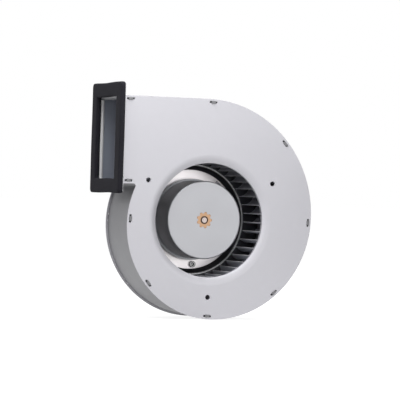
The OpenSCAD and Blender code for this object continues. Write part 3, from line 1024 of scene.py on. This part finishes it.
@dataclass(frozen=True)
class Impeller(SubAssembly):
    """Blades between a front ring and a dished, zinc-plated back disc."""

    pieces: ClassVar[Names] = ("impeller_blades", "impeller_front_ring", "impeller_back_disc")
    # Bounds of the painted highlight on the blades' inner edges.
    blade_tips: Limit = Limit(Measure.RADIUS, 50.0, 57.35)
    # Bounds of the painted shade on the back disc's outer band.
    disc_shade_band: Limit = Limit(Measure.RADIUS, 50.6, 90.0)
    # Bounds of the painted highlight ring on the back disc.
    disc_highlight_line: Limit = Limit(Measure.RADIUS, 54.7, 56.1)

    def finishes(self) -> tuple[Finish, ...]:
        """Names the finishes of blades, ring and disc.

        Returns:
            The finishes.
        """
        # Painted highlight: the blades' inner edges, next to the eye, are drawn paler than the
        # rest of each blade.
        tip_highlight = Zone((0.62, 0.62, 0.66), (self.blade_tips,))
        # Painted shade: the back disc outside its pale middle, between and behind the blades, is
        # drawn nearly black.
        band = Zone((0.07, 0.072, 0.08), (self.disc_shade_band,))
        # Painted highlight: a thin white ring on the back disc's bent edge.
        line = Zone(WHITE, (self.disc_highlight_line,), soft_mm=0.1)
        return (
            GalvanisedSheet(
                "blade_steel",
                (0.50, 0.51, 0.56),
                metallic=0.3,
                roughness=0.4,
                edge=0.0001,
                zones=(tip_highlight,),
            ),
            MachinedMetal(
                "bright_zinc",
                (0.96, 0.92, 0.93),
                metallic=0.75,
                roughness=0.34,
                zones=(band, line),
            ),
        )


@dataclass(frozen=True)
class Motor(SubAssembly):
    """External-rotor motor: can, magnets, hub and shaft round the stator on its flange."""

    pieces: ClassVar[Names] = (
        "motor_flange",
        "stator_core",
        "stator_insulator",
        "stator_windings",
        "rotor_can",
        "rotor_magnets",
        "rotor_hub",
        "shaft",
    )
    # Bounds of the painted light on the can's front face.
    lit_can_face: Limit = Limit(Measure.DEPTH, 0.0, 15.9)
    # Bounds of the painted highlight ring round the can's foot.
    can_foot_highlight: Limit = Limit(Measure.RADIUS, 41.2, 42.0)
    hub_teeth: Limit = Limit(Measure.RADIUS, 7.6, 9.0)
    # Bounds of the painted shade round the shaft.
    hub_bore: Limit = Limit(Measure.RADIUS, 0.0, 4.1)
    # Bounds of the painted shade at the edge of the shaft's end.
    shaft_rim: Limit = Limit(Measure.RADIUS, 2.5, 3.5)

    def finishes(self) -> tuple[Finish, ...]:
        """Names the finishes of rotor and stator.

        Returns:
            The finishes.
        """
        # Painted light: the can's front face is drawn paler than its side.
        face = Zone((0.39, 0.392, 0.412), (self.lit_can_face,), soft_mm=0.3)
        # Painted highlight: a thin paler ring round the can's foot.
        foot = Zone((0.40, 0.40, 0.41), (self.can_foot_highlight,))
        teeth = Zone((0.33, 0.19, 0.10), (self.hub_teeth,), soft_mm=0.3)
        # Painted shade: the brass round the shaft's hole is drawn dark.
        bore_shade = Zone((0.10, 0.06, 0.04), (self.hub_bore,))
        # Painted shade: a darker ring at the edge of the shaft's end.
        rim = Zone((0.16, 0.12, 0.10), (self.shaft_rim,))
        return (
            CastMetal("cast_aluminium", (0.50, 0.50, 0.52)),
            StripedMetal("laminated_steel", (0.34, 0.34, 0.36), (0.12, 0.12, 0.13), 320.0),
            Coating("insulator_plastic", (0.74, 0.71, 0.62)),
            StripedMetal(
                "enamelled_copper", (0.72, 0.30, 0.12), (0.24, 0.07, 0.02), 400.0, roughness=0.3
            ),
            MachinedMetal(
                "rotor_aluminium",
                # Painted shade: the can's side is drawn darker than its front face.
                (0.34, 0.345, 0.365),
                metallic=0.7,
                roughness=0.36,
                contrast=0.02,
                zones=(face, foot),
            ),
            Coating("magnet", (0.06, 0.06, 0.065), roughness=0.6),
            MachinedMetal(
                "hub_brass",
                (0.55, 0.33, 0.19),
                metallic=0.3,
                roughness=0.35,
                zones=(teeth, bore_shade),
            ),
            MachinedMetal(
                "ground_steel", (0.48, 0.41, 0.39), metallic=0.5, roughness=0.25, zones=(rim,)
            ),
        )


@dataclass(frozen=True)
class Bearings(SubAssembly):
    """Front and rear ball bearings: rings, cages and balls."""

    pieces: ClassVar[Names] = tuple(
        f"{end}_bearing_{part}"
        for end in ("front", "rear")
        for part in ("outer_ring", "inner_ring", "cage", "balls")
    )
    ring_roughness: float = 0.18
    cage_roughness: float = 0.25
    ball_roughness: float = 0.08

    def finishes(self) -> tuple[Finish, ...]:
        """Names the finishes of rings, cages and balls.

        Returns:
            The finishes.
        """
        return (
            MachinedMetal("bearing_steel", (0.62, 0.62, 0.64), roughness=self.ring_roughness),
            MachinedMetal("cage_brass", (0.66, 0.46, 0.18), roughness=self.cage_roughness),
            MachinedMetal("ball_steel", (0.72, 0.72, 0.74), roughness=self.ball_roughness),
        )


@dataclass(frozen=True)
class Electronics(SubAssembly):
    """Circuit board with its components, under a cover with a cable grommet."""

    pieces: ClassVar[Names] = ("circuit_board", "board_components", "rear_cover", "cable_grommet")
    cover_grain_per_m: float = 2400.0
    cover_relief: float = 0.0001

    def finishes(self) -> tuple[Finish, ...]:
        """Names the finishes of board, components, cover and grommet.

        Returns:
            The finishes.
        """
        return (
            Coating("board_laminate", (0.02, 0.14, 0.05), roughness=0.3),
            Coating("component_black", (0.03, 0.03, 0.032), roughness=0.45),
            Coating(
                "cover_sheet",
                (0.10, 0.10, 0.11),
                grain_per_m=self.cover_grain_per_m,
                relief=self.cover_relief,
            ),
            Coating("grommet_rubber", (0.02, 0.02, 0.021), roughness=0.7),
        )


@dataclass(frozen=True)
class Hardware(SubAssembly):
    """Screws, balance clip, preload spring and circlip."""

    pieces: ClassVar[Names] = (
        "motor_flange_screws",
        "rear_cover_screws",
        "impeller_screws",
        "balance_clip",
        "preload_spring",
        "shaft_circlip",
    )
    impeller_circle: ScrewCircle = ScrewCircle(46.0, -85.0, 3)
    flange_circle: ScrewCircle = ScrewCircle(55.5, 45.0, 4)
    cover_circle: ScrewCircle = ScrewCircle(41.25, -60.0, 3)
    head: ScrewHead = ScrewHead()

    def finishes(self) -> tuple[Finish, ...]:
        """Names the finishes of screws and springs.

        Returns:
            The finishes.
        """
        return (
            ScrewMetal(
                "screw_steel",
                (0.68, 0.68, 0.68),
                # Painted shade on the screws' rims, socket walls and flanks.
                (0.03, 0.03, 0.03),
                (self.impeller_circle, self.flange_circle, self.cover_circle),
                self.head,
            ),
            MachinedMetal("spring_steel", (0.40, 0.40, 0.42)),
        )


@dataclass(frozen=True)
class FoamGasket(SubAssembly):
    """Foam frame on the outlet, with soft round edges and sides that are not quite straight."""

    pieces: ClassVar[Names] = ("outlet_gasket",)
    foam: ClassVar[Foam] = Foam("black_foam", (0.0145, 0.014, 0.0185))
    low: Vector
    high: Vector
    band: float = 0.0144
    corner: float = 0.0032
    inner_corner_share: float = 0.6
    corner_taper: float = 0.05
    least_corner: float = 0.0008
    round_off: float = 0.0016
    foot: float = 0.0004
    foot_height_share: float = 0.25
    crown: tuple[float, ...] = (0.3, 0.5, 0.7)
    bow: float = 0.00025
    phase_per_side: float = 3.1
    phase_per_length: float = 4.7
    phase_per_metre: float = 40.0
    stations: int = 240
    arc_degrees: tuple[float, ...] = (0, 22.5, 45, 67.5, 90)
    stuffing: float = 0.9

    def finishes(self) -> tuple[Finish, ...]:
        """Returns the foam."""
        return (self.foam,)

    def rounded(self, y: float, z: float, half: Pair, corner: float) -> Pair:
        """Draws a point of a rectangle's outline onto its round corner.

        Args:
            y: the point's place from the rectangle's centre, along the depth.
            z: the same, upwards.
            half: half of the rectangle's sides.
            corner: corner radius.

        Returns:
            The point, moved only where it lies in a corner.
        """
        over_y, over_z = abs(y) - (half[0] - corner), abs(z) - (half[1] - corner)
        if over_y <= 0 or over_z <= 0:
            return y, z
        length = math.hypot(over_y, over_z)
        return (
            math.copysign(half[0] - corner + over_y / length * corner, y),
            math.copysign(half[1] - corner + over_z / length * corner, z),
        )

    def sway(self, side: int, share: float, inset: float) -> float:
        """Tells how far a side bends inwards at a point.

        Args:
            side: number of the side.
            share: how far along the side, from 0 to 1.
            inset: distance inside the gasket's box.

        Returns:
            The distance inwards, none at the side's ends.
        """
        phase = self.phase_per_side * side + self.phase_per_length * share
        phase += self.phase_per_metre * inset
        return self.bow * (1 - math.cos(2 * math.pi * share)) * math.sin(phase)

    def loop(self, inset: float) -> list[Pair]:
        """Walks round the outlet at one inset.

        Args:
            inset: distance inside the gasket's box.

        Returns:
            The y and z of each point, at the same stations for every inset.
        """
        low, high = self.low, self.high
        centre_y, centre_z = (low.y + high.y) / 2, (low.z + high.z) / 2
        half = ((high.y - low.y) / 2 - inset, (high.z - low.z) / 2 - inset)
        corner = self.corner if inset < self.band / 2 else self.corner * self.inner_corner_share
        corner = max(corner - inset * self.corner_taper, self.least_corner)
        steps = self.stations // len(Side)
        points = []
        for number, side in enumerate(Side):
            along, out = side.value
            for step in range(steps):
                share = step / steps
                y, z = (
                    (ahead * (1 - 2 * share) + away) * reach
                    for ahead, away, reach in zip(along, out, half)
                )
                y, z = self.rounded(y, z, half, corner)
                sway = self.sway(number, share, inset)
                points.append((centre_y + y - sway * out[0], centre_z + z - sway * out[1]))
        return points

    def section(self) -> list[Pair]:
        """Draws the band's cross-section.

        Returns:
            The inset from the outer edge and the height over the frame of each point.
        """
        thick = self.high.x - self.low.x
        radius = self.round_off
        turns = [math.radians(degrees) for degrees in self.arc_degrees]
        outer = [
            (radius - radius * math.cos(turn), thick - radius + radius * math.sin(turn))
            for turn in turns
        ]
        flank = [(self.foot, 0.0), (0.0, thick * self.foot_height_share), *outer]
        across = [(self.band - inset, height) for inset, height in reversed(flank)]
        return [*flank, *((self.band * share, thick) for share in self.crown), *across]

    def build(self, paintshop: Paintshop) -> bpy.types.Object:
        """Makes the gasket on the outlet frame.

        Args:
            paintshop: gives the foam finish.

        Returns:
            The gasket.
        """
        shape = bmesh.new()
        rings = [
            [shape.verts.new((self.high.x - height, y, z)) for y, z in self.loop(inset)]
            for inset, height in self.section()
        ]
        for here, there in zip(rings, rings[1:] + rings[:1]):
            for index, corner in enumerate(here):
                after = (index + 1) % len(here)
                shape.faces.new((corner, there[index], there[after], here[after]))
        bmesh.ops.recalc_face_normals(shape, faces=shape.faces)
        mesh = bpy.data.meshes.new("foam_gasket")
        shape.to_mesh(mesh)
        shape.free()
        mesh.polygons.foreach_set("use_smooth", [True] * len(mesh.polygons))
        gasket = place("foam_gasket", mesh)
        paintshop.dress(gasket, self.foam.name)
        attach(gasket, Body.HOUSING.value)
        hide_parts("outlet_gasket")
        log.info("built %s", gasket.name)
        return gasket


# ---- Studio ----


def place(name: str, data: bpy.types.ID) -> bpy.types.Object:
    """Puts a mesh, lamp or camera in the scene.

    Args:
        name: the object's name.
        data: what it shows.

    Returns:
        The object.
    """
    thing = bpy.data.objects.new(name, data)
    bpy.context.scene.collection.objects.link(thing)
    return thing


@dataclass(frozen=True)
class SoftBox:
    """A large square lamp aimed at the fan."""

    name: str
    azimuth: float
    elevation: float
    power: float
    width: float = 1.2
    distance: float = 1.8

    def build(self, target: Vector) -> None:
        """Makes the lamp.

        Args:
            target: the point that it faces.
        """
        data = bpy.data.lights.new(self.name, "AREA")
        data.shape = "SQUARE"
        data.size = self.width
        data.energy = self.power
        turn, rise = math.radians(self.azimuth), math.radians(self.elevation)
        level = math.cos(rise)
        away = Vector((math.sin(turn) * level, -math.cos(turn) * level, math.sin(rise)))
        lamp = place(self.name, data)
        lamp.location = target + away * self.distance
        lamp.rotation_mode = "QUATERNION"
        lamp.rotation_quaternion = away.to_track_quat("Z", "Y")


@dataclass(frozen=True)
class StageSheet:
    """A flat four-cornered sheet that belongs to the studio, not to the fan."""

    name: str
    corners: tuple[tuple[float, float, float], ...]

    def build(self, material: bpy.types.Material) -> bpy.types.Object:
        """Makes the sheet.

        Args:
            material: its material.

        Returns:
            The sheet.
        """
        mesh = bpy.data.meshes.new(self.name)
        mesh.from_pydata(self.corners, [], [(0, 1, 2, 3)])
        mesh.materials.append(material)
        sheet = place(self.name, mesh)
        sheet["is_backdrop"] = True
        return sheet


@dataclass(frozen=True)
class Studio:
    """White floor, white surround, soft lamps, a black flag and the camera."""

    surround: float = 0.39
    floor_grey: float = 0.42
    floor_glow: float = 0.86
    floor_drop: float = 0.0005
    floor_size: float = 40.0
    flag_x: float = 0.30
    flag_front: float = -0.30
    flag_back: float = -0.01
    flag_half_height: float = 0.22
    camera_azimuth: float = -21.44
    camera_elevation: float = 0.22
    camera_roll: float = 1.75
    camera_distance: float = 2.436
    camera_reach: float = 60.0
    axis_offset: Pair = (0.0100, -0.02042)
    sensor: float = 36.0
    view_width: float = 0.4
    lamps: tuple[SoftBox, ...] = (
        SoftBox("key_lamp", -30.0, 62.0, 3.0, width=0.4, distance=0.5),
        SoftBox("fill_lamp", 21.0, 9.0, 2.9, width=0.8),
        SoftBox("front_lamp", -24.0, 6.0, 2.0, width=0.3),
        SoftBox("back_lamp", 160.0, 35.0, 10.0),
    )

    def world(self) -> None:
        """Makes a white surround that lights softly and shows pure white."""
        world = bpy.data.worlds.new("surround")
        bpy.context.scene.world = world
        world.use_nodes = True
        nodes = Nodes(world.node_tree)
        mix = nodes.add("ShaderNodeMixShader")
        nodes.link(nodes.seen_by(Ray.CAMERA, Ray.GLOSSY, Ray.TRANSMISSION), mix.inputs["Fac"])
        nodes.link(nodes.emitter("ShaderNodeBackground", self.surround), mix.inputs[1])
        nodes.link(nodes.emitter("ShaderNodeBackground", 1.0), mix.inputs[2])
        nodes.surface("ShaderNodeOutputWorld", mix.outputs["Shader"])

    def floor(self, height: float) -> bpy.types.Object:
        """Makes the floor, white where it is lit and darker in the object's shadow.

        Args:
            height: the height that the object stands at.

        Returns:
            The floor.
        """
        material = bpy.data.materials.new("floor_white")
        material.use_nodes = True
        nodes = Nodes(material.node_tree)
        seen = nodes.seen_by(Ray.CAMERA, Ray.GLOSSY)
        glow = nodes.math(Maths.MULTIPLY, seen, self.floor_glow)
        both = nodes.add("ShaderNodeAddShader")
        nodes.link(nodes.diffuse((self.floor_grey,) * 3), both.inputs[0])
        nodes.link(nodes.emitter("ShaderNodeEmission", glow), both.inputs[1])
        nodes.surface("ShaderNodeOutputMaterial", both.outputs["Shader"])
        half, z = self.floor_size / 2, height - self.floor_drop
        outline = ((-half, -half, z), (half, -half, z), (half, half, z), (-half, half, z))
        return StageSheet("floor", outline).build(material)

    def flag(self) -> bpy.types.Object:
        """Makes a flag: a black card right of the fan that shows only in its reflections.

        Returns:
            The flag.
        """
        material = bpy.data.materials.new("flag_black")
        material.use_nodes = True
        nodes = Nodes(material.node_tree)
        nodes.surface("ShaderNodeOutputMaterial", nodes.diffuse(BLACK))
        x, front, back, top = self.flag_x, self.flag_front, self.flag_back, self.flag_half_height
        outline = ((x, front, -top), (x, back, -top), (x, back, top), (x, front, top))
        flag = StageSheet("flag", outline).build(material)
        flag.visible_camera = False
        flag.visible_diffuse = False
        flag.visible_shadow = False
        return flag

    def camera(self) -> bpy.types.Object:
        """Makes the camera, nearly level and to the left of the inlet.

        Returns:
            The camera.
        """
        turn, tilt = math.radians(self.camera_azimuth), math.radians(self.camera_elevation)
        ahead = Vector(
            (-math.sin(turn) * math.cos(tilt), math.cos(turn) * math.cos(tilt), -math.sin(tilt))
        )
        level = Vector((math.cos(turn), math.sin(turn), 0.0))
        upright = level.cross(ahead)
        roll = math.radians(self.camera_roll)
        right = level * math.cos(roll) + upright * math.sin(roll)
        up = upright * math.cos(roll) - level * math.sin(roll)
        offset = right * self.axis_offset[0] + up * self.axis_offset[1]
        matrix = Matrix((right, up, -ahead)).transposed().to_4x4()
        matrix.translation = -ahead * self.camera_distance - offset
        data = bpy.data.cameras.new("camera")
        data.sensor_width = self.sensor
        data.lens = self.sensor * self.camera_distance / self.view_width
        data.clip_end = self.camera_reach
        camera = place("camera", data)
        camera.matrix_world = matrix
        bpy.context.scene.camera = camera
        return camera

    def build(self, target: Vector, ground: float) -> None:
        """Makes the whole studio.

        Args:
            target: the point that the lamps face.
            ground: the floor's height.
        """
        bpy.context.scene.view_settings.view_transform = "Standard"
        self.world()
        self.floor(ground)
        for lamp in self.lamps:
            lamp.build(target)
        self.flag()
        self.camera()
        log.info("built the studio with %d lamps", len(self.lamps))


# ---- Main ----


def corners(bounds: tuple[Vector, Vector]) -> list[list[float]]:
    """Returns a box's two corners as plain lists."""
    return [list(corner) for corner in bounds]


def main() -> None:
    """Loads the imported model, builds the studio and dresses each sub-assembly in order."""
    logging.basicConfig(level=logging.INFO, format="%(name)s: %(message)s")
    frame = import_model()
    cad_box = corners(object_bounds())
    low, high = (Vector(corner) for corner in cad_box)
    Studio().build((low + high) / 2, low.z)
    paintshop = Paintshop(frame["record"])
    gasket = FoamGasket(*(Vector(corner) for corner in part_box("outlet_gasket")))
    fan = (Housing(), gasket, Impeller(), Motor(), Bearings(), Electronics(), Hardware())
    for assembly in fan:
        assembly.dress(frame["nodes"], paintshop)
    for name in set(frame["nodes"]).difference(*(assembly.pieces for assembly in fan)):
        log.warning("%s belongs to no sub-assembly and has no finish", name)
    gasket.build(paintshop)


if __name__ == "__main__":
    main()
